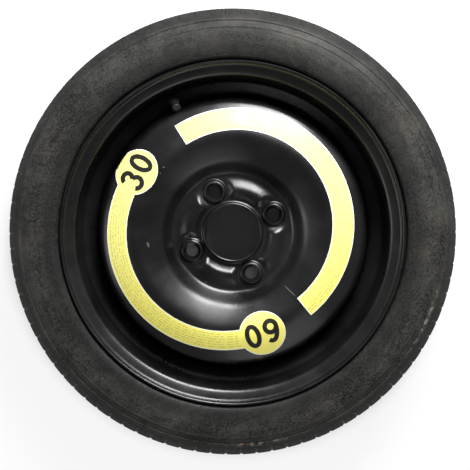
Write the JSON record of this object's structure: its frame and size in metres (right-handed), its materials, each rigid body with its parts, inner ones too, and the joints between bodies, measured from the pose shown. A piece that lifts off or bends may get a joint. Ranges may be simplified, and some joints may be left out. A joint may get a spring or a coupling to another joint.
{
  "type": "spare wheel",
  "caption": "Temporary spare wheel of a car: a narrow tyre on a black pressed steel wheel with a four-bolt hub face, snap-in valve and yellow stickers.",
  "frame": {"origin": "centre of the wheel on its axis, halfway between the two flanges of the rim", "axes": "+Z along the wheel's axis towards its street side, which faces up. +Y points to the valve. One bolt hole lies on each of +X, +Y, -X and -Y"},
  "size_m": [0.5396, 0.5396, 0.119],
  "materials": {
    "tyre_rubber": "dull black tyre rubber",
    "black_gloss_paint": "gloss black enamel on steel",
    "painted_weld": "black enamel on a weld bead",
    "valve_rubber": "smooth black rubber",
    "valve_brass": "turned brass",
    "seal_rubber": "dull dark red rubber",
    "spring_steel": "bright spring wire",
    "cap_plastic": "black moulded plastic",
    "sticker_film": "yellow printed film"
  },
  "bodies": {
    "wheel": {"tyre": "tyre_rubber", "wheel_rim": "black_gloss_paint", "wheel_disc": "black_gloss_paint", "disc_weld_1": "painted_weld", "disc_weld_2": "painted_weld", "disc_weld_3": "painted_weld", "disc_weld_4": "painted_weld", "disc_weld_5": "painted_weld", "disc_weld_6": "painted_weld", "disc_weld_7": "painted_weld", "disc_weld_8": "painted_weld", "valve_body": "valve_rubber", "valve_stem": "valve_brass", "valve_core_barrel": "valve_brass", "valve_core_seal": "seal_rubber", "valve_core_spring": "spring_steel", "sticker_numbered": "sticker_film", "sticker_plain": "sticker_film"},
    "cap": {"valve_cap": "cap_plastic"},
    "core_pin": {"valve_core_pin": "valve_brass", "valve_pin_seal": "seal_rubber"}
  },
  "joints": [
    {"name": "cap_pull", "type": "slide", "parent": "wheel", "child": "cap", "axis": [0, -0.4318, 0.9019], "range_m": [0, 0.012]},
    {"name": "pin_press", "type": "slide", "parent": "wheel", "child": "core_pin", "axis": [0, 0.4318, -0.9019], "range_m": [0, 0.0013], "stiffness_N_per_m": 300, "springref_m": -0.002, "deforming": ["valve_core_spring"]}
  ]
}
